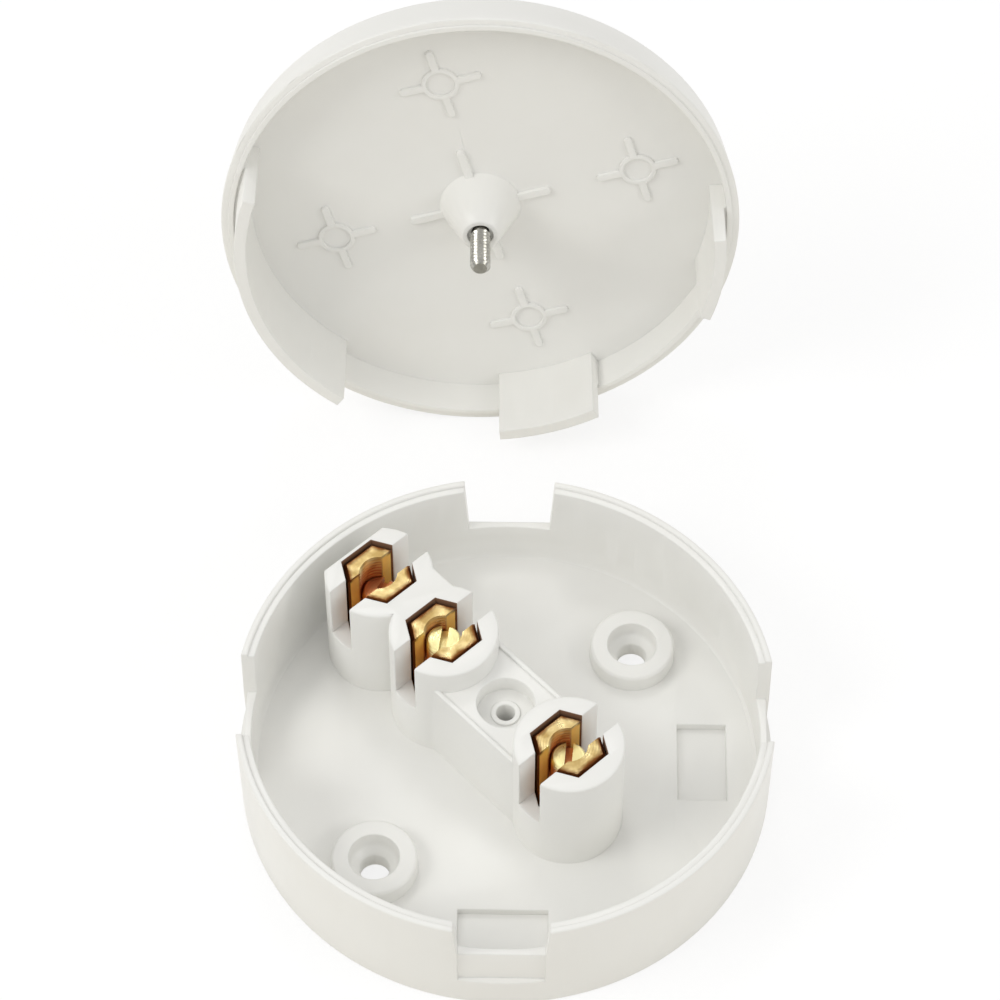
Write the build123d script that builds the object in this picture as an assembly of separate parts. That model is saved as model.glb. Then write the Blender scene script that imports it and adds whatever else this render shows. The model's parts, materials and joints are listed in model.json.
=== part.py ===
from build123d import *
import os

# Round junction box with three brass terminals. The base lies on its back and the lid, taken off,
# stands behind it on its edge. Millimetres, +Z up, origin at the middle of the base's underside,
# the front entry towards -Y.

# Cup of the base
box_radius = 44.5
base_height = 22.6
base_draft = 0.2
base_wall = 2.2
inner_draft = 0.2
floor_top = 3.4
floor_thickness = 2.2
foot_width = 2.6
foot_chamfer = 0.4
floor_chamfer = 0.6
rim_chamfer = 0.2

# Rebate in the base's rim, and the lip on the lid that drops into it
rebate_width = 1.1
rebate_depth = 0.5
lip_clearance = 0.1

# Entry slots, east first and then anticlockwise
entry_width_at_rim = 15.4
entry_width_at_sill = 14.0
entry_turns = (0, 90, 180, 270)
entry_sills = (12.3, 11.3, 12.3, 14.5)
knock_out_foot = 7.0
knock_out_skin = 1.0

# Thin panels in the floor for cables from behind
rear_panel_turns = (0, 270)
rear_panel_start = 28.8
rear_panel_length = 8.2
rear_panel_width = 14.8
rear_panel_skin = 0.7

# Bosses for the fixing screws
fixing_circle = 60.0
fixing_turns = (45, 225)
fixing_boss_radius = 7.15
fixing_boss_top = 6.9
fixing_boss_chamfer = 0.4
fixing_head_radius = 4.2
fixing_head_depth = 2.4
fixing_seat_depth = 1.4
fixing_hole_radius = 2.5

# Terminal towers, on a line across the box
line_turn = -46.2
tower_places = (-31.0, -15.0, 15.0)
tower_radius = 9.1
tower_top = 26.0
tower_edge_chamfer = 0.25
end_flat = 6.4
web_face = 7.2
socket_flats = 11.4
socket_floor = 8.0
wire_slot_width = 4.8
wire_slot_floor = 14.0
tower_core_radius = 4.6
core_roof = 2.2
core_draft = 0.3

# Bridge between the second and third tower, with the hole for the lid screw
bridge_width = 14.7
bridge_top = 21.0
bridge_edge_width = 0.8
bridge_edge_height = 0.5
screw_well_radius = 4.8
screw_well_floor = 17.7
screw_hole_radius = 1.55
screw_hole_floor = 10.0
screw_lip_width = 0.9
screw_lip_height = 0.3
bridge_core_radius = 4.2

# Brass pillars and their clamp screws
pillar_clearance = 0.35
pillar_height = 17.5
pillar_chamfer = 0.45
pillar_slot_width = 4.3
pillar_slot_floor = 13.0
clamp_screw_radius = 2.95
clamp_screw_length = 6.0
clamp_screw_chamfer = 0.4
clamp_screw_clearance = 0.1
clamp_screw_tops = (20.5, 23.3, 22.0)
clamp_screw_turns = (20, 60, -15)
driver_slot_width = 1.2
driver_slot_depth = 1.6

# Lid, drawn with its inside face at height 0 and its open side up
lid_depth = 6.3
lid_plate = 2.0
lid_edge_round = 1.9
lid_draft = 1.3
skirt_clearance = 0.4
skirt_thickness = 2.1
skirt_draft = 0.2
skirt_depth = 15.0
skirt_spans = ((-35.2, -10.2), (145.3, 216.6), (258.4, 283.6))

# Pillar of the lid, and the captive screw in it
lid_pillar_root = 7.0
lid_pillar_end = 3.3
lid_pillar_height = 8.4
lid_pillar_chamfer = 0.35
lid_bore_radius = 2.2
retainer_radius = 1.5
retainer_start = 6.2
retainer_length = 1.2
head_well_radius = 3.9
head_well_floor = 2.4
rib_length = 5.6
rib_width = 1.5
rib_height = 0.7

# Moulded ring-and-spoke marks in the lid
mark_circle = 27.1
mark_shift = 1.0
mark_ring_radius = 3.2
mark_ring_width = 0.8
mark_reach = 7.2
mark_spoke_width = 1.4
mark_height = 0.5

# Captive lid screw
lid_screw_head_radius = 3.5
lid_screw_head_height = 2.2
lid_screw_neck_radius = 1.3
lid_screw_thread_radius = 1.75
lid_screw_thread_start = 7.8
lid_screw_tip = 17.0
lid_screw_point = 0.8
lid_screw_turn = 16.2

# Where the lid stands
lid_centre_x = -5.75
lid_centre_y = 88.1
lid_lean = 10.1
lid_yaw = 1.1
lid_turn = 16.2

# Small overlap that makes a cut or a join clean, and how near counts as the same height
past = 0.5
nearby = 0.01

UPWARDS = (Align.CENTER, Align.CENTER, Align.MIN)
DOWNWARDS = (Align.CENTER, Align.CENTER, Align.MAX)

inner_radius = box_radius - base_wall
recess_height = floor_top - floor_thickness


def section(points):
    """Flat face in the XZ plane, from a list of (radius, height) points."""
    return Plane.XZ * make_face(Polyline(points, close=True))


def turned(points):
    """Solid of revolution about Z, from a list of (radius, height) points."""
    return revolve(section(points), Axis.Z)


def level_with(shapes, height):
    """Those of some corners or faces that lie at one height."""
    return shapes.filter_by_position(Axis.Z, height - nearby, height + nearby)


def corners_at(profile, height):
    """Corners of a profile at one height, the outermost last."""
    return level_with(profile.vertices(), height).sort_by(Axis.X)


def bar(start, reach, width):
    """Plan of a bar along X from one place to another, its far end round."""
    straight = Pos(start, 0) * Rectangle(
        reach - start - width / 2, width, align=(Align.MIN, Align.CENTER))
    return straight + Pos(reach - width / 2, 0) * Circle(width / 2)


def around(solid, turns):
    """Copies of a solid, turned about Z by each of the given angles."""
    return [Rot(0, 0, turn) * solid for turn in turns]


# Base: the cup

def cup():
    """Wall, floor and foot of the base, with a rebate round the inside of its rim."""
    foot_radius = box_radius - base_draft
    profile = section([
        (0, recess_height),
        (foot_radius - foot_width, recess_height),
        (foot_radius - foot_width, 0),
        (foot_radius, 0),
        (box_radius, base_height),
        (inner_radius + rebate_width, base_height),
        (inner_radius + rebate_width, base_height - rebate_depth),
        (inner_radius, base_height - rebate_depth),
        (inner_radius - inner_draft, floor_top),
        (0, floor_top),
    ])
    profile = chamfer(corners_at(profile, base_height), rim_chamfer)
    profile = chamfer(corners_at(profile, 0)[-1], foot_chamfer)
    profile = chamfer(corners_at(profile, floor_top)[-1], floor_chamfer)
    return revolve(profile, Axis.Z)


def entry_cut(sill):
    """Tapered slot through the wall to the east, and the recess outside that thins its knock-out."""
    slope = (entry_width_at_rim - entry_width_at_sill) / 2 / (base_height - sill)
    half_top = entry_width_at_rim / 2 + slope * past
    half_sill = entry_width_at_sill / 2
    slot = Plane.YZ * make_face(Polyline(
        (-half_sill, sill), (half_sill, sill), (half_top, base_height + past),
        (-half_top, base_height + past), close=True))
    recess = Plane.YZ * make_face(Polyline(
        (-half_sill, knock_out_foot), (half_sill, knock_out_foot), (half_sill, sill + past),
        (-half_sill, sill + past), close=True))
    reach = box_radius - inner_radius
    through = Pos(inner_radius - 2 * reach, 0, 0) * extrude(slot, 4 * reach)
    thinned = Pos(inner_radius + knock_out_skin, 0, 0) * extrude(recess, 2 * reach)
    return through + thinned


def rear_panel_cut():
    """Shallow pocket in the floor that leaves a skin to break out."""
    place = Pos(rear_panel_start + rear_panel_length / 2, 0, recess_height + rear_panel_skin)
    return place * Box(rear_panel_length, rear_panel_width, floor_thickness, align=UPWARDS)


def fixing_boss():
    """Boss under one fixing screw, with a broken edge at its top."""
    profile = section([
        (0, 0),
        (fixing_boss_radius, 0),
        (fixing_boss_radius, fixing_boss_top),
        (0, fixing_boss_top),
    ])
    return revolve(chamfer(corners_at(profile, fixing_boss_top)[-1], fixing_boss_chamfer), Axis.Z)


def fixing_cut():
    """Well for the head, coned seat and hole of one fixing screw."""
    seat = fixing_boss_top - fixing_head_depth
    return turned([
        (0, -past),
        (fixing_hole_radius, -past),
        (fixing_hole_radius, seat - fixing_seat_depth),
        (fixing_head_radius, seat),
        (fixing_head_radius, fixing_boss_top + past),
        (0, fixing_boss_top + past),
    ])


# Base: terminal towers and bridge, drawn with their line along X and the wire slots along Y

def tower_outline():
    """Plan of the three towers, the end one cut flat and the first two joined by a web."""
    plan = Sketch() + [Pos(place, 0) * Circle(tower_radius) for place in tower_places]
    first, second = tower_places[0], tower_places[1]
    web = Pos((first + second) / 2, web_face / 2) * Rectangle(second - first, web_face)
    beyond = Pos(first - end_flat, 0) * Rectangle(
        tower_radius, 3 * tower_radius, align=(Align.MAX, Align.CENTER))
    return plan + web - beyond


def bridge():
    """Block between the second and third tower, with a low edge along each side."""
    left, right = tower_places[1], tower_places[2]
    middle = (left + right) / 2
    length = right - left
    block = Pos(middle, 0, recess_height) * Box(
        length, bridge_width, bridge_top - recess_height, align=UPWARDS)
    for side in (-1, 1):
        offset = side * (bridge_width - bridge_edge_width) / 2
        block += Pos(middle, offset, bridge_top - past) * Box(
            length, bridge_edge_width, bridge_edge_height + past, align=UPWARDS)
    return block


def screw_well_cut():
    """Well for the end of the lid's pillar, with the screw hole and the lip round it."""
    lip_radius = screw_hole_radius + screw_lip_width
    return turned([
        (0, screw_hole_floor),
        (screw_hole_radius, screw_hole_floor),
        (screw_hole_radius, screw_well_floor + screw_lip_height),
        (lip_radius, screw_well_floor + screw_lip_height),
        (lip_radius, screw_well_floor),
        (screw_well_radius, screw_well_floor),
        (screw_well_radius, tower_top + past),
        (0, tower_top + past),
    ])


def core(radius, height):
    """Coring pin's hole from beneath, a little narrower at its roof."""
    return turned([(0, -past), (radius, -past), (radius - core_draft, height), (0, height)])


def socket_cut():
    """Hexagonal socket and wire slot of one tower, and the core beneath it."""
    hexagon = Rot(0, 0, 30) * RegularPolygon(socket_flats / 2, 6, major_radius=False)
    socket = Pos(0, 0, socket_floor) * extrude(hexagon, tower_top - socket_floor + past)
    slot = Pos(0, 0, wire_slot_floor) * Box(
        wire_slot_width, 3 * tower_radius, tower_top - wire_slot_floor + past, align=UPWARDS)
    return socket + slot + core(tower_core_radius, socket_floor - core_roof)


def terminal_block():
    """Towers and bridge, before the sockets are cut."""
    towers = Pos(0, 0, recess_height) * extrude(tower_outline(), tower_top - recess_height)
    rims = level_with(towers.faces(), tower_top).edges()
    return chamfer(rims, tower_edge_chamfer) + bridge()


def base():
    """The whole moulded base."""
    body = cup()
    body += Rot(0, 0, line_turn) * terminal_block()
    body += around(Pos(fixing_circle / 2, 0, 0) * fixing_boss(), fixing_turns)
    body -= around(Pos(fixing_circle / 2, 0, 0) * fixing_cut(), fixing_turns)
    for place in tower_places:
        body -= Rot(0, 0, line_turn) * Pos(place, 0, 0) * socket_cut()
    body -= screw_well_cut()
    body -= core(bridge_core_radius, screw_hole_floor - core_roof)
    for turn, sill in zip(entry_turns, entry_sills):
        body -= Rot(0, 0, turn) * entry_cut(sill)
    body -= around(rear_panel_cut(), rear_panel_turns)
    return body


# Terminals

def terminal_pillar():
    """Hexagonal brass pillar on Z, with its bore and a wire slot along Y."""
    flats = socket_flats - 2 * pillar_clearance
    hexagon = Rot(0, 0, 30) * RegularPolygon(flats / 2, 6, major_radius=False)
    pillar = Pos(0, 0, socket_floor) * extrude(hexagon, pillar_height)
    rim = level_with(pillar.faces(), socket_floor + pillar_height).edges()
    pillar = chamfer(rim, pillar_chamfer)
    bore_radius = clamp_screw_radius + clamp_screw_clearance
    pillar -= Pos(0, 0, pillar_slot_floor) * Cylinder(bore_radius, pillar_height, align=UPWARDS)
    pillar -= Pos(0, 0, pillar_slot_floor) * Box(
        pillar_slot_width, 2 * flats, pillar_height, align=UPWARDS)
    return pillar


def clamp_screw(top, turn):
    """Headless brass screw on Z with a driver slot."""
    bottom = top - clamp_screw_length
    screw = turned([
        (0, bottom),
        (clamp_screw_radius - clamp_screw_chamfer, bottom),
        (clamp_screw_radius, bottom + clamp_screw_chamfer),
        (clamp_screw_radius, top - clamp_screw_chamfer),
        (clamp_screw_radius - clamp_screw_chamfer, top),
        (0, top),
    ])
    slot = Pos(0, 0, top + past) * Box(
        driver_slot_width, 3 * clamp_screw_radius, driver_slot_depth + past, align=DOWNWARDS)
    return screw - Rot(0, 0, turn) * slot


# Lid, in its own frame

def lid_dish():
    """Plate and wall of the lid, with the lip that drops into the base's rebate."""
    lip_radius = inner_radius + rebate_width - lip_clearance
    lip_top = lid_depth + rebate_depth - lip_clearance
    foot_radius = box_radius - lid_draft
    profile = section([
        (0, -lid_plate),
        (foot_radius, -lid_plate),
        (box_radius, lid_depth),
        (lip_radius, lid_depth),
        (lip_radius, lip_top),
        (inner_radius, lip_top),
        (inner_radius - inner_draft, 0),
        (0, 0),
    ])
    profile = fillet(corners_at(profile, -lid_plate)[-1], lid_edge_round)
    profile = chamfer(corners_at(profile, lid_depth)[-1], rim_chamfer)
    return revolve(profile, Axis.Z)


def skirt(start, end):
    """Arc-shaped shutter that hangs inside the base's wall, thicker where it is part of the lid."""
    outside = inner_radius - skirt_clearance
    inside = outside - skirt_thickness
    profile = section([
        (inside - skirt_draft, -past),
        (inner_radius + past, -past),
        (inner_radius + past, lid_depth - past),
        (outside, lid_depth),
        (outside, skirt_depth),
        (inside, skirt_depth),
    ])
    return Rot(0, 0, start) * revolve(profile, Axis.Z, end - start)


def lid_pillar():
    """Coned pillar in the middle of the lid, with four low ribs round its root."""
    profile = section([
        (0, -past),
        (lid_pillar_root, -past),
        (lid_pillar_root, 0),
        (lid_pillar_end, lid_pillar_height),
        (0, lid_pillar_height),
    ])
    profile = chamfer(corners_at(profile, lid_pillar_height)[-1], lid_pillar_chamfer)
    pillar = revolve(profile, Axis.Z)
    plan = bar(lid_pillar_root - past, lid_pillar_root + rib_length, rib_width)
    rib = Pos(0, 0, -past) * extrude(plan, rib_height + past)
    return pillar + around(rib, entry_turns)


def lid_screw_cut():
    """Bore of the pillar, with the neck that keeps the screw in, and the well for its head."""
    return turned([
        (0, -lid_plate - past),
        (head_well_radius, -lid_plate - past),
        (head_well_radius, head_well_floor),
        (lid_bore_radius, head_well_floor),
        (lid_bore_radius, retainer_start),
        (retainer_radius, retainer_start),
        (retainer_radius, retainer_start + retainer_length),
        (lid_bore_radius, retainer_start + retainer_length),
        (lid_bore_radius, lid_pillar_height + past),
        (0, lid_pillar_height + past),
    ])


def lid_mark():
    """Low ring with four spokes, moulded on the inside face."""
    ring = Circle(mark_ring_radius) - Circle(mark_ring_radius - mark_ring_width)
    spoke = bar(mark_ring_radius - mark_ring_width / 2, mark_reach, mark_spoke_width)
    plan = ring + around(spoke, entry_turns)
    return Pos(mark_circle, 0, -past) * extrude(plan, mark_height + past)


def lid():
    """The whole moulded lid, in its own frame."""
    body = lid_dish() + lid_pillar() - lid_screw_cut()
    for start, end in skirt_spans:
        body += skirt(start, end)
    body += [Pos(mark_shift, 0, 0) * mark for mark in around(lid_mark(), entry_turns)]
    return body


def lid_screw():
    """Captive screw with a slotted head, a thin neck and a thick threaded end."""
    head_top = head_well_floor - lid_screw_head_height
    shoulder = lid_screw_thread_radius - lid_screw_neck_radius
    screw = turned([
        (0, head_top),
        (lid_screw_head_radius, head_top),
        (lid_screw_head_radius, head_well_floor),
        (lid_screw_neck_radius, head_well_floor),
        (lid_screw_neck_radius, lid_screw_thread_start),
        (lid_screw_thread_radius, lid_screw_thread_start + shoulder),
        (lid_screw_thread_radius, lid_screw_tip - lid_screw_point),
        (lid_screw_thread_radius - lid_screw_point, lid_screw_tip),
        (0, lid_screw_tip),
    ])
    slot = Pos(0, 0, head_top - past) * Box(
        driver_slot_width, 3 * lid_screw_head_radius, past + lid_screw_head_height / 2, align=UPWARDS)
    return screw - Rot(0, 0, lid_screw_turn) * slot


def stand_lid(pieces):
    """Stands the lid and what it holds behind the base, leaning back, its lowest edge on Z 0."""
    upright = Rot(90, 0, 0)
    lean = Pos(lid_centre_x, lid_centre_y, 0) * Rot(0, 0, lid_yaw) * Rot(-lid_lean, 0, 0) * upright
    stood = {name: lean * Rot(0, 0, lid_turn) * piece for name, piece in pieces.items()}
    lowest = min(piece.bounding_box().min.Z for piece in stood.values())
    return {name: Pos(0, 0, -lowest) * piece for name, piece in stood.items()}


def main():
    """Builds every piece and writes one file for each."""
    pieces = {"base": base()}
    along_line = Rot(0, 0, line_turn)
    for number, place in enumerate(tower_places, 1):
        top, turn = clamp_screw_tops[number - 1], clamp_screw_turns[number - 1]
        pieces[f"terminal_pillar_{number}"] = along_line * Pos(place, 0, 0) * terminal_pillar()
        pieces[f"clamp_screw_{number}"] = along_line * Pos(place, 0, 0) * clamp_screw(top, turn)
    pieces.update(stand_lid({"lid": lid(), "lid_screw": lid_screw()}))
    os.makedirs("parts", exist_ok=True)
    for name, piece in pieces.items():
        piece.label = name
        export_step(piece, f"parts/{name}.step")


main()
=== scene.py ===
import json
import math

import bmesh
import bpy
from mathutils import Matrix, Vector


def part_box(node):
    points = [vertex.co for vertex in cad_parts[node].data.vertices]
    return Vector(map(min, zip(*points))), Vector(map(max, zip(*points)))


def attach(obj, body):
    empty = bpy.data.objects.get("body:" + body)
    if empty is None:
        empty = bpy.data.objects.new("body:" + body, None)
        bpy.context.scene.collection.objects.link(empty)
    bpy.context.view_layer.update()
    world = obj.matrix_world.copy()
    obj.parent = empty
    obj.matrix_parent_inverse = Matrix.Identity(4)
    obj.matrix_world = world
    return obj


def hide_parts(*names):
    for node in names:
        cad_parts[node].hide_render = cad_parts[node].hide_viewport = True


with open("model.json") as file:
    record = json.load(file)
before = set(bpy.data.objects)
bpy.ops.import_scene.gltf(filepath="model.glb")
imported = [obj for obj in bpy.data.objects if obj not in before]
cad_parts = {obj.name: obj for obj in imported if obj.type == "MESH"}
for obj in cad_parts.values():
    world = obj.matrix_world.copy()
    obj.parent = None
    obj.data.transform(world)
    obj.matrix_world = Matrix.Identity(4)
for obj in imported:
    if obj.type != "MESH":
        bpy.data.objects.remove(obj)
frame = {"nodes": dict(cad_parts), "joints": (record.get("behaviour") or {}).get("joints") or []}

bl_info = {
    "name": "Junction Box",
    "version": (1, 0, 0),
    "blender": (4, 5, 0),
    "location": "3D View > Sidebar > Junction Box",
    "description": "Finishes a round wiring junction box with brass terminals, and its stage",
    "category": "Object",
}

MM = 0.001
TERMINALS = (1, 2, 3)
MOULDINGS = (("base", "root"), ("lid", "lid"))

# How meshes are cleaned and shaded
MERGE_DISTANCE = 0.002 * MM
COPLANAR_ANGLE = math.radians(0.3)
EDGE_ANGLE = math.radians(35)
MOULDING_CREASE = math.radians(25)
METAL_CREASE = math.radians(30)
FLAT_FACE_AREA = 0.2 * MM ** 2

# Largest upward part of the normal of a face that counts as upright
UPRIGHT = 0.5

# Least side of a face beside an edge that is rounded, in widths of the round
ROOM = 1.6

# Faces round and along the threads
BRASS_SEGMENTS, BRASS_RINGS = 72, 96
STEEL_SEGMENTS, STEEL_RINGS = 48, 112

# A wave texture of scale 1 repeats at this distance
WAVE_PERIOD = math.pi / 10

# Where each lamp stands, what it faces and how wide it is, in metres
LAMPS = {
    "key": ((-0.75, -0.25, 0.80), (0, 0.03, 0.02), 0.5),
    "fill": ((0.85, -0.30, 0.62), (0, 0, 0.02), 0.4),
    "back": ((-0.15, 0.55, 0.95), (0, 0, 0.02), 0.2),
}
FLOOR_REACH = 3


# Helpers

def linear(code):
    """An sRGB hex code as linear red, green, blue and alpha."""
    parts = [int(code[i:i + 2], 16) / 255 for i in (0, 2, 4)]
    return [c / 12.92 if c <= 0.04045 else ((c + 0.055) / 1.055) ** 2.4 for c in parts] + [1.0]


def add(tree, kind, inputs=None, **settings):
    """Adds a node with its settings. An input takes a value, a socket, or a node's first output."""
    node = tree.nodes.new(kind)
    for name, value in settings.items():
        setattr(node, name, value)
    for name, value in (inputs or {}).items():
        if isinstance(value, bpy.types.Node):
            value = next(socket for socket in value.outputs if socket.enabled)
        if isinstance(value, bpy.types.NodeSocket):
            tree.links.new(value, node.inputs[name])
        else:
            node.inputs[name].default_value = value
    return node


def new_material(name):
    """An empty node material and its tree."""
    material = bpy.data.materials.new(name)
    material.use_nodes = True
    tree = material.node_tree
    tree.nodes.clear()
    return material, tree


def per_mm(millimetres):
    """Scale at which a texture's pattern repeats about once in that many millimetres."""
    return 1 / (millimetres * MM)


def hexagon_turns(line_turn):
    """Directions of the three pairs of flats of a hexagon that has one pair across the line."""
    return [line_turn + math.radians(step) for step in (0, 60, 120)]


def merged_copy(node, name):
    """A copy of a CAD node's mesh with its loose triangles merged and its flat faces made whole."""
    mesh = frame["nodes"][node].data.copy()
    mesh.name = name
    work = bmesh.new()
    work.from_mesh(mesh)
    bmesh.ops.remove_doubles(work, verts=work.verts, dist=MERGE_DISTANCE)
    bmesh.ops.dissolve_limit(
        work, angle_limit=COPLANAR_ANGLE, verts=work.verts, edges=work.edges)
    work.to_mesh(mesh)
    work.free()
    piece = bpy.data.objects.new(name, mesh)
    bpy.context.scene.collection.objects.link(piece)
    return piece


def soften(mesh, width):
    """Rounds the sharp outer edges of a mesh, except where the faces beside them are too narrow."""
    work = bmesh.new()
    work.from_mesh(mesh)
    corners = [e for e in work.edges if e.calc_face_angle_signed(0.0) > EDGE_ANGLE]
    folds = {e for e in work.edges if e.calc_face_angle(0.0) > EDGE_ANGLE}
    cramped = {v for v in work.verts
               if any(e not in folds and e.calc_length() < ROOM * width for e in v.link_edges)}
    roomy = [e for e in corners if not cramped.intersection(e.verts)]
    bmesh.ops.bevel(
        work, geom=roomy, offset=width, segments=2, profile=0.5, affect="EDGES",
        clamp_overlap=False, harden_normals=False)
    work.to_mesh(mesh)
    work.free()


def mark_sockets(mesh, reach, foot, line_turn):
    """Marks a mesh's upright faces that stand above a level in the hexagons round the terminals,
    for painted shade.
    """
    places = [sum(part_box(f"clamp_screw_{number}"), Vector()) / 2 for number in TERMINALS]
    flats = [Vector((math.cos(angle), math.sin(angle), 0)) for angle in hexagon_turns(line_turn)]
    marks = mesh.attributes.new("beside_brass", "FLOAT", "FACE").data
    for face, mark in zip(mesh.polygons, marks):
        mark.value = abs(face.normal.z) < UPRIGHT and face.center.z > foot and any(
            max(abs(flat.dot(face.center - place)) for flat in flats) < reach for place in places)


def settle(piece):
    """Turns a piece with modifiers into a plain mesh, and takes the modifiers off."""
    evaluated = piece.evaluated_get(bpy.context.evaluated_depsgraph_get())
    mesh = bpy.data.meshes.new_from_object(evaluated)
    mesh.name = piece.name
    piece.modifiers.clear()
    piece.data = mesh
    return piece


def hand_over(piece, node, body):
    """Lets a finished piece stand for a CAD node and ride on its body."""
    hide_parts(node)
    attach(piece, body)


# Materials

def moulded_urea(sizes):
    """White urea resin, pressed in a polished tool: dense and semi-gloss, with a faint ripple.

    The ripple is a few hundredths of a millimetre deep, so it only breaks up the reflections.
    The socket walls round the brass are painted brown: painted shade of the gap and a painted
    reflection of the brass, so each terminal has a dark outline.
    """
    material, tree = new_material("white_urea_moulding")
    place = add(tree, "ShaderNodeTexCoord").outputs["Object"]
    flow = add(tree, "ShaderNodeTexNoise", {"Vector": place, "Scale": per_mm(14), "Detail": 3})
    resin = add(tree, "ShaderNodeMix", {
        "Factor": flow, "A": sizes.resin, "B": sizes.resin_shade}, data_type="RGBA")
    # Painted shade: the marked socket walls beside the brass take a brown that stands for the
    # shaded gap and the brass's reflection
    beside_brass = add(tree, "ShaderNodeAttribute", attribute_name="beside_brass").outputs["Fac"]
    gap_shaded = add(tree, "ShaderNodeMix", {
        "Factor": beside_brass, "A": resin, "B": sizes.rub}, data_type="RGBA")
    roughness = add(tree, "ShaderNodeMapRange", {
        "Value": flow, "From Min": 0.3, "From Max": 0.7, "To Min": 0.30, "To Max": 0.40})
    ripple = add(tree, "ShaderNodeTexNoise", {"Vector": place, "Scale": per_mm(2.2), "Detail": 2})
    rounded = add(tree, "ShaderNodeBevel", {"Radius": sizes.edge_gleam}, samples=6)
    bump = add(tree, "ShaderNodeBump", {
        "Height": ripple, "Strength": 0.15, "Distance": 0.03 * MM, "Normal": rounded})
    surface = add(tree, "ShaderNodeBsdfPrincipled", {
        "Base Color": gap_shaded, "Roughness": roughness, "IOR": 1.5, "Normal": bump})
    add(tree, "ShaderNodeOutputMaterial", {"Surface": surface})
    return material


def machined_brass(sizes):
    """Free-cutting brass bar, sawn, drilled and tapped: bright faces with cutter marks.

    The drawn skin of the hexagon is brown, for patina and for painted shade of the gap round it,
    and the bore is painted darker with depth, as painted shade. The screws' ends carry a painted
    highlight, and the rougher faces of the wire slot a golden painted reflection. The marks of the
    cutter are drawn coarser than they are, so that they show.
    """
    material, tree = new_material("machined_brass")
    place = add(tree, "ShaderNodeTexCoord").outputs["Object"]
    local = add(tree, "ShaderNodeAttribute", attribute_name="from_axis").outputs["Vector"]
    across, beside, level = add(tree, "ShaderNodeSeparateXYZ", {0: local}).outputs
    depth = add(tree, "ShaderNodeMath", {0: level, 1: -1}, operation="MULTIPLY")
    in_plan = add(tree, "ShaderNodeCombineXYZ", {"X": across, "Y": beside})
    radius = add(tree, "ShaderNodeVectorMath", {0: in_plan}, operation="LENGTH")

    # Distance across the hexagon: the largest reach along the three directions of its flats
    reach = 0.0
    for angle in hexagon_turns(sizes.line_turn):
        along = add(tree, "ShaderNodeVectorMath", {
            0: local, 1: (math.cos(angle), math.sin(angle), 0)}, operation="DOT_PRODUCT")
        size = add(tree, "ShaderNodeMath", {0: along}, operation="ABSOLUTE")
        reach = add(tree, "ShaderNodeMath", {0: reach, 1: size}, operation="MAXIMUM")

    # Patina and painted shade: an uneven brown band round the top face, and all of the skin below
    # it, stand for patina and for the shade in the gap between the brass and its socket
    stain = add(tree, "ShaderNodeTexNoise", {"Vector": place, "Scale": per_mm(2.5), "Detail": 4})
    shift = add(tree, "ShaderNodeMapRange", {
        "Value": stain, "From Min": 0.3, "From Max": 0.7,
        "To Min": -0.2 * MM, "To Max": 0.2 * MM})
    uneven = add(tree, "ShaderNodeMath", {0: reach, 1: shift}, operation="ADD")
    band = add(tree, "ShaderNodeMapRange", {
        "Value": uneven, "From Min": sizes.tarnish_and_shade_start, "From Max": sizes.tarnish_and_shade_end})
    near_top = add(tree, "ShaderNodeMapRange", {
        "Value": depth, "From Min": 0.6 * MM, "From Max": 1.2 * MM, "To Min": 1, "To Max": 0})
    rim = add(tree, "ShaderNodeMath", {0: band, 1: near_top}, operation="MULTIPLY")
    outside = add(tree, "ShaderNodeMapRange", {
        "Value": reach, "From Min": sizes.tarnish_and_shade_end, "From Max": sizes.tarnish_and_shade_end + 0.1 * MM})
    skin = add(tree, "ShaderNodeMath", {0: rim, 1: outside}, operation="MAXIMUM")

    # Bore: painted shade. Its wall is painted darker from the top down, and whatever lies deep in
    # it, the screw's end too, is painted dark
    inside = add(tree, "ShaderNodeMapRange", {
        "Value": radius, "From Min": sizes.bore_radius, "From Max": sizes.bore_radius + 0.4 * MM,
        "To Min": 1, "To Max": 0})
    past_screw = add(tree, "ShaderNodeMapRange", {
        "Value": radius, "From Min": sizes.bore_radius - 0.3 * MM,
        "From Max": sizes.bore_radius - 0.1 * MM})
    wall = add(tree, "ShaderNodeMath", {0: inside, 1: past_screw}, operation="MULTIPLY")
    down_wall = add(tree, "ShaderNodeMapRange", {
        "Value": depth, "From Min": 0, "From Max": 3 * MM, "To Min": 0, "To Max": 0.9})
    wall_shade = add(tree, "ShaderNodeMath", {0: wall, 1: down_wall}, operation="MULTIPLY")
    down_bore = add(tree, "ShaderNodeMapRange", {
        "Value": depth, "From Min": 3.6 * MM, "From Max": 5 * MM, "To Min": 0, "To Max": 0.85})
    foot_shade = add(tree, "ShaderNodeMath", {0: inside, 1: down_bore}, operation="MULTIPLY")
    shade = add(tree, "ShaderNodeMath", {0: wall_shade, 1: foot_shade}, operation="MAXIMUM")

    # Faces of the wire slot, which lie outside the bore and below the top: their golden colour is a
    # painted reflection of brass lit by brass, and their roughness is real
    below_top = add(tree, "ShaderNodeMapRange", {
        "Value": depth, "From Min": 0.3 * MM, "From Max": 0.8 * MM})
    out_of_bore = add(tree, "ShaderNodeMath", {0: 1, 1: inside}, operation="SUBTRACT")
    sawn = add(tree, "ShaderNodeMath", {0: below_top, 1: out_of_bore}, operation="MULTIPLY")

    # Colours, from the clean metal to the painted highlight, painted reflection, painted shade and
    # patina laid over it
    handled = add(tree, "ShaderNodeMapRange", {
        "Value": stain, "From Min": 0.35, "From Max": 0.65})
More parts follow.
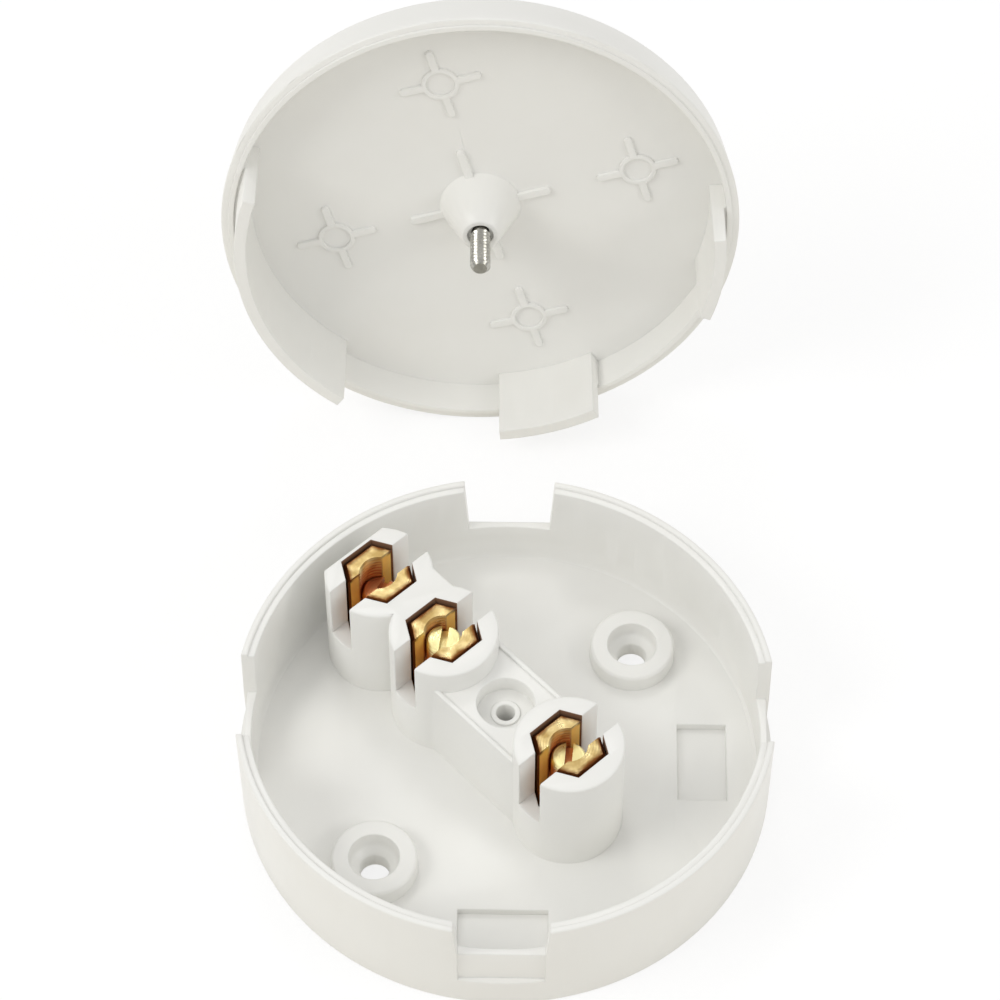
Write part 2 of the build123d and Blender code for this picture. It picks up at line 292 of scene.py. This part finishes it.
    # Painted highlight: the screws' ends inside the bore are painted paler than the brass round
    # them
    screw_end_gleam = add(tree, "ShaderNodeMath", {0: inside, 1: wall}, operation="SUBTRACT")
    colour_now = sizes.brass
    for factor, over in ((handled, sizes.brass_shade), (screw_end_gleam, sizes.screw_end_highlight),
                         (sawn, sizes.slot_reflection), (shade, sizes.deep_shade),
                         (skin, sizes.tarnish)):
        colour_now = add(tree, "ShaderNodeMix", {
            "Factor": factor, "A": colour_now, "B": over}, data_type="RGBA")

    # Finish: cloudy polish, rough in the wire slot, with burrs and turned rings
    polish = add(tree, "ShaderNodeMapRange", {
        "Value": stain, "From Min": 0.35, "From Max": 0.65, "To Min": 0.26, "To Max": 0.42})
    roughness = add(tree, "ShaderNodeMath", {
        0: sawn, 1: 0.35, 2: polish}, operation="MULTIPLY_ADD")
    rings = add(tree, "ShaderNodeTexWave", {
        "Vector": local, "Scale": per_mm(0.45) * WAVE_PERIOD, "Distortion": 0.6,
    }, wave_type="RINGS", rings_direction="Z").outputs["Fac"]
    burr = add(tree, "ShaderNodeBump", {
        "Height": stain, "Strength": 1.0, "Distance": 0.08 * MM})
    bump = add(tree, "ShaderNodeBump", {
        "Height": rings, "Strength": 0.35, "Distance": 0.02 * MM, "Normal": burr})
    surface = add(tree, "ShaderNodeBsdfPrincipled", {
        "Base Color": colour_now, "Metallic": 1.0, "Roughness": roughness, "Normal": bump})
    add(tree, "ShaderNodeOutputMaterial", {"Surface": surface})
    return material


def zinc_plated_steel(sizes):
    """Bright zinc on a steel screw with a rolled thread: pale grey and slightly cloudy."""
    material, tree = new_material("zinc_plated_steel")
    place = add(tree, "ShaderNodeTexCoord").outputs["Object"]
    cloud = add(tree, "ShaderNodeTexNoise", {"Vector": place, "Scale": per_mm(1.6), "Detail": 3})
    plating = add(tree, "ShaderNodeMix", {
        "Factor": cloud, "A": sizes.zinc, "B": sizes.zinc_shade}, data_type="RGBA")
    roughness = add(tree, "ShaderNodeMapRange", {
        "Value": cloud, "From Min": 0.3, "From Max": 0.7, "To Min": 0.18, "To Max": 0.34})
    surface = add(tree, "ShaderNodeBsdfPrincipled", {
        "Base Color": plating, "Metallic": 1.0, "Roughness": roughness})
    add(tree, "ShaderNodeOutputMaterial", {"Surface": surface})
    return material


def paper_sweep(sizes):
    """Matt white paper. It shows as white, takes a faint shadow and throws warm light back."""
    material, tree = new_material("white_paper")

    # 1 for what the eye sees straight, in a mirror or through glass, and 0 for soft light
    path = add(tree, "ShaderNodeLightPath").outputs
    straight = add(tree, "ShaderNodeMath", {
        0: path["Is Camera Ray"], 1: path["Is Glossy Ray"]}, operation="MAXIMUM")
    seen = add(tree, "ShaderNodeMath", {
        0: straight, 1: path["Is Transmission Ray"]}, operation="MAXIMUM")

    catcher = add(tree, "ShaderNodeBsdfDiffuse", {"Color": sizes.shadow_tone})
    glow = add(tree, "ShaderNodeEmission", {"Color": sizes.paper_glow})
    shown = add(tree, "ShaderNodeAddShader", {0: catcher, 1: glow})
    bounce = add(tree, "ShaderNodeBsdfDiffuse", {"Color": sizes.paper})
    sheet = add(tree, "ShaderNodeMixShader", {"Fac": seen, 1: bounce, 2: shown})
    add(tree, "ShaderNodeOutputMaterial", {"Surface": sheet})
    return material


# Geometry Nodes

def inputs_of(tree, *sockets):
    """Declares a tree's inputs from (name, kind) pairs and returns the sockets that give them."""
    for name, kind in sockets:
        tree.interface.new_socket(name, in_out="INPUT", socket_type=kind)
    return add(tree, "NodeGroupInput").outputs


THREAD_INPUTS = (
    ("Radius", "NodeSocketFloat"), ("Length", "NodeSocketFloat"), ("Pitch", "NodeSocketFloat"),
    ("Depth", "NodeSocketFloat"), ("Chamfer", "NodeSocketFloat"), ("Segments", "NodeSocketInt"),
    ("Rings", "NodeSocketInt"))
PLACE_INPUTS = (
    ("Place", "NodeSocketVector"), ("Turn", "NodeSocketVector"), ("Origin", "NodeSocketVector"),
    ("Material", "NodeSocketMaterial"))
SLOT_INPUTS = (("Slot Width", "NodeSocketFloat"), ("Slot Depth", "NodeSocketFloat"))
SHANK_INPUTS = (
    ("Neck Radius", "NodeSocketFloat"), ("Neck Length", "NodeSocketFloat"),
    ("Head Radius", "NodeSocketFloat"), ("Head Height", "NodeSocketFloat"))


def threaded_rod_tree():
    """Node group for a rod on Z with a helical thread and chamfered ends, its lower end at 0."""
    tree = bpy.data.node_groups.new("threaded_rod", "GeometryNodeTree")
    given = inputs_of(tree, *THREAD_INPUTS)
    tree.interface.new_socket("Geometry", in_out="OUTPUT", socket_type="NodeSocketGeometry")
    rod = add(tree, "GeometryNodeMeshCylinder", {
        "Vertices": given["Segments"], "Side Segments": given["Rings"],
        "Radius": given["Radius"], "Depth": given["Length"]})
    position = add(tree, "GeometryNodeInputPosition")
    x, y, z = add(tree, "ShaderNodeSeparateXYZ", {0: position}).outputs
    half = add(tree, "ShaderNodeMath", {0: given["Length"], 1: 0.5}, operation="MULTIPLY")

    # Groove: as deep as the place is far from a crest, and the crests climb round the axis
    angle = add(tree, "ShaderNodeMath", {0: y, 1: x}, operation="ARCTAN2")
    turned = add(tree, "ShaderNodeMath", {0: angle, 1: 2 * math.pi}, operation="DIVIDE")
    climbed = add(tree, "ShaderNodeMath", {0: z, 1: given["Pitch"]}, operation="DIVIDE")
    threads = add(tree, "ShaderNodeMath", {0: climbed, 1: turned}, operation="SUBTRACT")
    phase = add(tree, "ShaderNodeMath", {0: threads}, operation="FRACT")
    from_crest = add(tree, "ShaderNodeMath", {0: phase, 1: 0.5}, operation="PINGPONG")
    share_down = add(tree, "ShaderNodeMath", {0: from_crest, 1: 2}, operation="MULTIPLY")
    groove = add(tree, "ShaderNodeMath", {
        0: given["Depth"], 1: share_down}, operation="MULTIPLY")

    # Chamfer: drawn in as far as the place is near an end
    from_middle = add(tree, "ShaderNodeMath", {0: z}, operation="ABSOLUTE")
    to_end = add(tree, "ShaderNodeMath", {0: half, 1: from_middle}, operation="SUBTRACT")
    chamfer = add(tree, "ShaderNodeMath", {
        0: given["Chamfer"], 1: to_end}, operation="SUBTRACT")
    inset = add(tree, "ShaderNodeMath", {0: groove, 1: chamfer}, operation="MAXIMUM")

    drawn_in = add(tree, "ShaderNodeMath", {0: inset, 1: given["Radius"]}, operation="DIVIDE")
    share = add(tree, "ShaderNodeMath", {0: 1, 1: drawn_in}, operation="SUBTRACT")
    place = add(tree, "ShaderNodeCombineXYZ", {
        "X": add(tree, "ShaderNodeMath", {0: x, 1: share}, operation="MULTIPLY"),
        "Y": add(tree, "ShaderNodeMath", {0: y, 1: share}, operation="MULTIPLY"),
        "Z": add(tree, "ShaderNodeMath", {0: z, 1: half}, operation="ADD")})
    shaped = add(tree, "GeometryNodeSetPosition", {"Geometry": rod, "Position": place})
    add(tree, "NodeGroupOutput", {0: shaped})
    return tree


def rod_in(tree, given):
    """The threaded rod inside another tree, with that tree's own inputs."""
    rod = bpy.data.node_groups.get("threaded_rod") or threaded_rod_tree()
    sizes = {name: given[name] for name, kind in THREAD_INPUTS}
    return add(tree, "GeometryNodeGroup", sizes, node_tree=rod)


def slot_blade(tree, given, radius, level):
    """Block that saws the driver slot, wider than the screw, its middle at one height."""
    size = add(tree, "ShaderNodeCombineXYZ", {
        "X": given["Slot Width"],
        "Y": add(tree, "ShaderNodeMath", {0: radius, 1: 3}, operation="MULTIPLY"),
        "Z": add(tree, "ShaderNodeMath", {0: given["Slot Depth"], 1: 2}, operation="MULTIPLY")})
    blade = add(tree, "GeometryNodeMeshCube", {"Size": size})
    middle = add(tree, "ShaderNodeCombineXYZ", {"Z": level})
    return add(tree, "GeometryNodeTransform", {"Geometry": blade, "Translation": middle})


def finish_tree(tree, shape, given):
    """Notes each point's place from the piece's axis, makes the shape real and paints it."""
    tree.interface.new_socket("Geometry", in_out="OUTPUT", socket_type="NodeSocketGeometry")
    position = add(tree, "GeometryNodeInputPosition")
    offset = add(tree, "ShaderNodeVectorMath", {
        0: position, 1: given["Origin"]}, operation="SUBTRACT")
    noted = add(tree, "GeometryNodeStoreNamedAttribute", {
        "Geometry": shape, "Name": "from_axis", "Value": offset,
    }, data_type="FLOAT_VECTOR", domain="POINT")
    real = add(tree, "GeometryNodeRealizeInstances", {0: noted})
    painted = add(tree, "GeometryNodeSetMaterial", {
        "Geometry": real, "Material": given["Material"]})
    add(tree, "NodeGroupOutput", {0: painted})
    return tree


def slotted_screw_tree():
    """Tree for a headless screw: a threaded rod with a driver slot sawn across its top."""
    tree = bpy.data.node_groups.new("slotted_screw", "GeometryNodeTree")
    given = inputs_of(tree, *THREAD_INPUTS, *PLACE_INPUTS, *SLOT_INPUTS)
    screw = add(tree, "GeometryNodeMeshBoolean", {
        "Mesh 1": rod_in(tree, given),
        "Mesh 2": slot_blade(tree, given, given["Radius"], given["Length"]),
    }, operation="DIFFERENCE", solver="MANIFOLD")
    placed = add(tree, "GeometryNodeTransform", {
        "Geometry": screw, "Translation": given["Place"], "Rotation": given["Turn"]})
    return finish_tree(tree, placed, given)


def tapped_bore_tree():
    """Tree that cuts an internal thread into the pillar it is given."""
    tree = bpy.data.node_groups.new("tapped_bore", "GeometryNodeTree")
    given = inputs_of(
        tree, ("Geometry", "NodeSocketGeometry"), *THREAD_INPUTS, *PLACE_INPUTS)
    tap = add(tree, "GeometryNodeTransform", {
        "Geometry": rod_in(tree, given), "Translation": given["Place"], "Rotation": given["Turn"]})
    tapped = add(tree, "GeometryNodeMeshBoolean", {
        "Mesh 1": given["Geometry"], "Mesh 2": tap}, operation="DIFFERENCE", solver="MANIFOLD")
    return finish_tree(tree, tapped, given)


def captive_screw_tree():
    """Tree for a headed screw, its head at 0, then a thin neck and a threaded end."""
    tree = bpy.data.node_groups.new("captive_screw", "GeometryNodeTree")
    given = inputs_of(tree, *THREAD_INPUTS, *PLACE_INPUTS, *SLOT_INPUTS, *SHANK_INPUTS)
    neck_end = add(tree, "ShaderNodeMath", {
        0: given["Head Height"], 1: given["Neck Length"]}, operation="ADD")
    overlap = add(tree, "ShaderNodeMath", {0: neck_end, 1: given["Chamfer"]}, operation="ADD")
    neck = add(tree, "GeometryNodeMeshCylinder", {
        "Vertices": given["Segments"], "Radius": given["Neck Radius"], "Depth": overlap})
    head = add(tree, "GeometryNodeMeshCylinder", {
        "Vertices": given["Segments"], "Radius": given["Head Radius"],
        "Depth": given["Head Height"]})
    neck_middle = add(tree, "ShaderNodeMath", {0: overlap, 1: 0.5}, operation="MULTIPLY")
    head_middle = add(tree, "ShaderNodeMath", {
        0: given["Head Height"], 1: 0.5}, operation="MULTIPLY")

    whole = add(tree, "GeometryNodeMeshBoolean", operation="UNION", solver="MANIFOLD")
    for shape, level in ((rod_in(tree, given), neck_end), (neck, neck_middle), (head, head_middle)):
        raised = add(tree, "GeometryNodeTransform", {
            "Geometry": shape, "Translation": add(tree, "ShaderNodeCombineXYZ", {"Z": level})})
        tree.links.new(raised.outputs[0], whole.inputs["Mesh 2"])
    screw = add(tree, "GeometryNodeMeshBoolean", {
        "Mesh 1": whole, "Mesh 2": slot_blade(tree, given, given["Head Radius"], 0.0),
    }, operation="DIFFERENCE", solver="MANIFOLD")
    placed = add(tree, "GeometryNodeTransform", {
        "Geometry": screw, "Translation": given["Place"], "Rotation": given["Turn"]})
    return finish_tree(tree, placed, given)


def grow(piece, tree, values):
    """Puts a tree on a piece with its inputs set, and leaves the result as a plain mesh."""
    modifier = piece.modifiers.new(tree.name, "NODES")
    modifier.node_group = tree
    for item in tree.interface.items_tree:
        if item.in_out == "INPUT" and item.name in values:
            modifier[item.identifier] = values[item.name]
    return settle(piece)


def empty_piece(name):
    """A piece with no shape yet, for a tree to fill."""
    piece = bpy.data.objects.new(name, bpy.data.meshes.new(name))
    bpy.context.scene.collection.objects.link(piece)
    return piece


def smooth(piece, crease, flat_area=math.inf):
    """Shades a piece smooth, but for edges sharper than a crease and faces over an area."""
    piece.data.shade_smooth()
    piece.data.set_sharp_from_angle(angle=crease)
    for face in piece.data.polygons:
        face.use_smooth = face.area < flat_area


# Settings

def length(name, text, millimetres):
    """A length that the user can change."""
    return bpy.props.FloatProperty(
        name=name, description=text, default=millimetres * MM, min=0, unit="LENGTH", precision=5)


def colour(name, text, code):
    """A colour that the user can change."""
    return bpy.props.FloatVectorProperty(
        name=name, description=text, default=linear(code), size=4, min=0, max=1, subtype="COLOR")


def turn(name, text, degrees):
    """An angle that the user can change."""
    return bpy.props.FloatProperty(
        name=name, description=text, default=math.radians(degrees), unit="ROTATION")


def strength(name, text, value):
    """The strength of a part of the sky that the user can change."""
    return bpy.props.FloatProperty(name=name, description=text, default=value, min=0)


def power(name, text, watts):
    """The power of a lamp that the user can change."""
    return bpy.props.FloatProperty(
        name=name, description=text, default=watts, min=0, unit="POWER")


class MouldingSettings(bpy.types.PropertyGroup):
    """Edges and resin of the base and the lid."""
    edge_round: length("Edge round", "Round on the moulded edges", 0.13)
    edge_gleam: length("Edge gleam", "Radius over which light rolls round an edge", 0.3)
    resin: colour("Resin", "Colour of the mouldings", "F3F3F0")
    resin_shade: colour("Resin shade", "Colour where the resin flowed thin", "EFEEEA")
    # Painted shade: the brown on the socket walls round the brass is painted shade of the gap and a
    # painted reflection of the brass
    socket_reach: length("Socket reach", "Reach of the brown rub from a terminal's axis", 5.75)
    socket_foot: length("Socket foot", "Height above which the socket's walls are rubbed", 7.0)
    rub: colour("Rub", "Colour that tarnish leaves on the socket's walls", "80604A")


class TerminalSettings(bpy.types.PropertyGroup):
    """Threads, slots and brass of the terminals."""
    pitch: length("Thread pitch", "Distance from one thread to the next", 0.8)
    depth: length("Thread depth", "Depth of the threads", 0.3)
    play: length("Thread play", "Gap between a screw and its bore", 0.08)
    bore_depth: length("Bore depth", "Depth of the tapped bore below the pillar's top", 12.5)
    runout: length("Thread runout", "How far the tap goes past the pillar's top", 0.3)
    chamfer: length("Screw chamfer", "Chamfer at both ends of a screw", 0.4)
    slot_width: length("Slot width", "Width of the driver slots", 1.2)
    slot_depth: length("Slot depth", "Depth of the driver slots", 1.6)
    slot_turn_1: turn("Slot 1", "Angle of the first screw's slot", -27)
    slot_turn_2: turn("Slot 2", "Angle of the second screw's slot", -6)
    slot_turn_3: turn("Slot 3", "Angle of the third screw's slot", -4)
    line_turn: turn("Line of terminals", "Angle of the terminals' line to X", -46.2)
    # Painted shade: the brown of the bore, set by this reach and the deep shade colour, is painted
    # shade of the bore's depth
    bore_radius: length("Bore radius", "Reach of the brown colour round the axis", 3.1)
    # Painted shade: the band and skin set here are brown for patina and for painted shade of the
    # gap round the pillar
    tarnish_and_shade_start: length("Tarnish start", "Reach across the flats at which tarnish starts", 4.2)
    tarnish_and_shade_end: length("Tarnish end", "Reach across the flats at which tarnish is full", 4.9)
    brass: colour("Brass", "Colour of clean brass", "E2CE98")
    brass_shade: colour("Brass shade", "Colour of handled brass", "C2A468")
    # Painted highlight: the pale colour of the screws' ends
    screw_end_highlight: colour("Worn brass", "Colour of the screws' ends, rubbed by the driver", "F0E4A8")
    # Painted reflection: the golden colour of the wire slot's faces, where brass lights brass
    slot_reflection: colour("Sawn brass", "Colour of the wire slot's faces", "FFDA80")
    # Painted shade: colour painted on brass deep in a bore, where shade falls
    deep_shade: colour("Deep brass", "Colour of brass at the foot of a bore", "C06A42")
    # Painted shade: this brown is patina together with painted shade of the gap round the pillar
    tarnish: colour("Tarnish", "Colour of the drawn skin in its socket", "7A4A26")


class LidScrewSettings(bpy.types.PropertyGroup):
    """Sizes and plating of the captive lid screw."""
    head_level: length("Head level", "Height of the head's top above the joint's place", 0.2)
    head_radius: length("Head radius", "Radius of the head", 3.5)
    head_height: length("Head height", "Height of the head", 2.2)
    neck_radius: length("Neck radius", "Radius of the thin neck", 1.3)
    neck_length: length("Neck length", "Length of the thin neck", 5.4)
    thread_radius: length("Thread radius", "Radius over the thread", 1.75)
    thread_length: length("Thread length", "Length of the threaded end", 9.2)
    pitch: length("Thread pitch", "Distance from one thread to the next", 0.8)
    depth: length("Thread depth", "Depth of the thread", 0.36)
    chamfer: length("Point", "Chamfer at the tip", 0.6)
    slot_width: length("Slot width", "Width of the driver slot", 1.2)
    slot_depth: length("Slot depth", "Depth of the driver slot", 1.1)
    zinc: colour("Zinc", "Colour of the bright zinc", "D2D0C8")
    zinc_shade: colour("Zinc shade", "Colour of the cloudy zinc", "8C8A82")


class StageSettings(bpy.types.PropertyGroup):
    """Camera, lamps and floor."""
    camera_place: bpy.props.FloatVectorProperty(
        name="Camera place", description="Where the camera stands",
        default=(0.0045, -0.3346, 0.5425), subtype="TRANSLATION", unit="LENGTH")
    camera_turn: bpy.props.FloatVectorProperty(
        name="Camera turn", description="How the camera is turned",
        default=[math.radians(d) for d in (35.76, 0.0, 0.93)], subtype="EULER")
    lens: bpy.props.FloatProperty(
        name="Lens", description="Focal length in millimetres on a 36 mm sensor",
        default=135.89, min=10)
    zenith: strength("Zenith", "Strength of the soft light from above", 0.73)
    horizon: strength("Horizon", "Strength of the soft light from the sides", 0.57)
    key_power: power("Key lamp", "Power of the lamp in front on the left", 3.3)
    fill_power: power("Fill lamp", "Power of the lamp on the right", 1.6)
    back_power: power("Back lamp", "Power of the small lamp behind", 0.7)
    lamp_tint: colour("Lamp tint", "Colour of the lamps", "FFFEFA")
    sky_tint: colour("Sky tint", "Colour of the soft light", "FFFFFF")
    paper: colour("Paper", "Colour that the floor throws back", "EEEAE0")
    paper_glow: colour("Paper glow", "White that the floor shows by itself", "E2E2E2")
    shadow_tone: colour("Shadow tone", "Share of the floor's white that a shadow takes", "8C8C8C")


# Pieces

class JUNCTION_OT_mouldings(bpy.types.Operator):
    """Softens the edges of the base and the lid and gives them their resin"""
    bl_idname = "junction.mouldings"
    bl_label = "Mouldings"

    def execute(self, context):
        sizes = context.scene.junction_moulding
        line_turn = context.scene.junction_terminal.line_turn
        resin = moulded_urea(sizes)
        for node, body in MOULDINGS:
            piece = merged_copy(node, node + "_moulding")
            soften(piece.data, sizes.edge_round)
            mark_sockets(piece.data, sizes.socket_reach, sizes.socket_foot, line_turn)
            piece.data.materials.clear()
            piece.data.materials.append(resin)
            smooth(piece, MOULDING_CREASE)
            hand_over(piece, node, body)
        return {"FINISHED"}


class JUNCTION_OT_terminals(bpy.types.Operator):
    """Taps the brass pillars and makes the threaded, slotted screws that clamp the wires"""
    bl_idname = "junction.terminals"
    bl_label = "Terminals"

    def execute(self, context):
        sizes = context.scene.junction_terminal
        brass = machined_brass(sizes)
        bore, screw = tapped_bore_tree(), slotted_screw_tree()
        thread = {"Pitch": sizes.pitch, "Depth": sizes.depth, "Segments": BRASS_SEGMENTS,
                  "Rings": BRASS_RINGS, "Material": brass}
        for number in TERMINALS:
            pillar_node, screw_node = f"terminal_pillar_{number}", f"clamp_screw_{number}"
            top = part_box(pillar_node)[1].z
            low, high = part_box(screw_node)
            middle = (low + high) / 2
            radius = (high.x - low.x) / 2
            floor = top - sizes.bore_depth + sizes.runout
            origin = (middle.x, middle.y, top)

            pillar = merged_copy(pillar_node, pillar_node + "_tapped")
            grow(pillar, bore, thread | {
                "Radius": radius + sizes.play + sizes.depth, "Length": top + sizes.runout - floor,
                "Chamfer": 0.0, "Place": (middle.x, middle.y, floor), "Origin": origin})
            smooth(pillar, METAL_CREASE, FLAT_FACE_AREA)
            hand_over(pillar, pillar_node, "root")

            clamp = empty_piece(screw_node + "_threaded")
            slot_turn = getattr(sizes, f"slot_turn_{number}")
            grow(clamp, screw, thread | {
                "Radius": radius, "Length": high.z - low.z, "Chamfer": sizes.chamfer,
                "Slot Width": sizes.slot_width, "Slot Depth": sizes.slot_depth,
                "Place": (middle.x, middle.y, low.z), "Turn": (0, 0, slot_turn),
                "Origin": origin})
            smooth(clamp, METAL_CREASE, FLAT_FACE_AREA)
            hand_over(clamp, screw_node, screw_node)
        return {"FINISHED"}


class JUNCTION_OT_lid_screw(bpy.types.Operator):
    """Makes the captive screw of the lid, on the axis that its joint turns about"""
    bl_idname = "junction.lid_screw"
    bl_label = "Lid screw"

    def execute(self, context):
        sizes = context.scene.junction_lid_screw
        joint = next(j for j in frame["joints"] if j["child"] == "lid_screw")
        axis = Vector(joint["axis"])
        place = Vector(joint["pos_m"]) + sizes.head_level * axis
        screw = empty_piece("lid_screw_threaded")
        grow(screw, captive_screw_tree(), {
            "Radius": sizes.thread_radius, "Length": sizes.thread_length,
            "Pitch": sizes.pitch, "Depth": sizes.depth, "Chamfer": sizes.chamfer,
            "Segments": STEEL_SEGMENTS, "Rings": STEEL_RINGS,
            "Neck Radius": sizes.neck_radius, "Neck Length": sizes.neck_length,
            "Head Radius": sizes.head_radius, "Head Height": sizes.head_height,
            "Slot Width": sizes.slot_width, "Slot Depth": sizes.slot_depth,
            "Place": place, "Turn": axis.to_track_quat("Z", "Y").to_euler(), "Origin": place,
            "Material": zinc_plated_steel(sizes)})
        smooth(screw, METAL_CREASE, FLAT_FACE_AREA)
        hand_over(screw, "lid_screw", "lid_screw")
        return {"FINISHED"}


# Stage

def lamp(name, watts, tint):
    """One of the square soft lamps, at its place and facing its aim."""
    place, aim, size = LAMPS[name]
    data = bpy.data.lights.new(name + "_lamp", "AREA")
    data.size = size
    data.energy = watts
    data.color = tint[:3]
    thing = bpy.data.objects.new(name + "_lamp", data)
    thing.location = place
    thing.rotation_euler = (Vector(aim) - Vector(place)).to_track_quat("-Z", "Y").to_euler()
    bpy.context.scene.collection.objects.link(thing)


class JUNCTION_OT_stage(bpy.types.Operator):
    """Sets up the floor, the lamps, the soft sky and the camera"""
    bl_idname = "junction.stage"
    bl_label = "Stage"

    def execute(self, context):
        scene = context.scene
        sizes = scene.junction_stage
        scene.view_settings.view_transform = "Standard"

        floor = empty_piece("floor")
        corners = [(x * FLOOR_REACH, y * FLOOR_REACH, 0)
                   for x, y in ((-1, -1), (1, -1), (1, 1), (-1, 1))]
        floor.data.from_pydata(corners, [], [(0, 1, 2, 3)])
        floor.data.materials.append(paper_sweep(sizes))

        # Soft sky, brighter above than at the sides, with white behind the object
        scene.world = bpy.data.worlds.new("studio")
        scene.world.use_nodes = True
        tree = scene.world.node_tree
        tree.nodes.clear()
        sight = add(tree, "ShaderNodeTexCoord").outputs["Generated"]
        up = add(tree, "ShaderNodeSeparateXYZ", {0: sight}).outputs["Z"]
        sky = add(tree, "ShaderNodeMapRange", {
            "Value": up, "To Min": sizes.horizon, "To Max": sizes.zenith})
        eye = add(tree, "ShaderNodeLightPath").outputs["Is Camera Ray"]
        light = add(tree, "ShaderNodeBackground", {
            "Color": add(tree, "ShaderNodeMix", {
                "Factor": eye, "A": sizes.sky_tint, "B": linear("FFFFFF")}, data_type="RGBA"),
            "Strength": add(tree, "ShaderNodeMath", {0: sky, 1: eye}, operation="MAXIMUM")})
        add(tree, "ShaderNodeOutputWorld", {"Surface": light})

        for name in LAMPS:
            lamp(name, getattr(sizes, name + "_power"), sizes.lamp_tint)

        camera = bpy.data.objects.new("camera", bpy.data.cameras.new("camera"))
        camera.data.sensor_fit = "HORIZONTAL"
        camera.data.sensor_width = 36
        camera.data.lens = sizes.lens
        camera.data.clip_start = 0.01
        camera.location = sizes.camera_place
        camera.rotation_euler = sizes.camera_turn
        scene.collection.objects.link(camera)
        scene.camera = camera
        return {"FINISHED"}


OPERATORS = (JUNCTION_OT_mouldings, JUNCTION_OT_terminals, JUNCTION_OT_lid_screw,
             JUNCTION_OT_stage)
GROUPS = {"junction_moulding": MouldingSettings, "junction_terminal": TerminalSettings,
          "junction_lid_screw": LidScrewSettings, "junction_stage": StageSettings}


class JUNCTION_PT_sidebar(bpy.types.Panel):
    """Lists the pieces of the junction box and the sizes and colours that can be changed"""
    bl_idname = "JUNCTION_PT_sidebar"
    bl_label = "Junction Box"
    bl_space_type = "VIEW_3D"
    bl_region_type = "UI"
    bl_category = "Junction Box"

    def draw(self, context):
        for operator in OPERATORS:
            self.layout.operator(operator.bl_idname)
        for name in GROUPS:
            group = getattr(context.scene, name)
            for setting in group.__annotations__:
                self.layout.prop(group, setting)


def register():
    for part in (*GROUPS.values(), *OPERATORS, JUNCTION_PT_sidebar):
        bpy.utils.register_class(part)
    for name, group in GROUPS.items():
        setattr(bpy.types.Scene, name, bpy.props.PointerProperty(type=group))


def unregister():
    for name in GROUPS:
        delattr(bpy.types.Scene, name)
    for part in reversed((*GROUPS.values(), *OPERATORS, JUNCTION_PT_sidebar)):
        bpy.utils.unregister_class(part)


def main():
    """Registers the add-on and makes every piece."""
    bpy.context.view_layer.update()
    register()
    bpy.ops.junction.mouldings()
    bpy.ops.junction.terminals()
    bpy.ops.junction.lid_screw()
    bpy.ops.junction.stage()


if __name__ == "__main__":
    main()
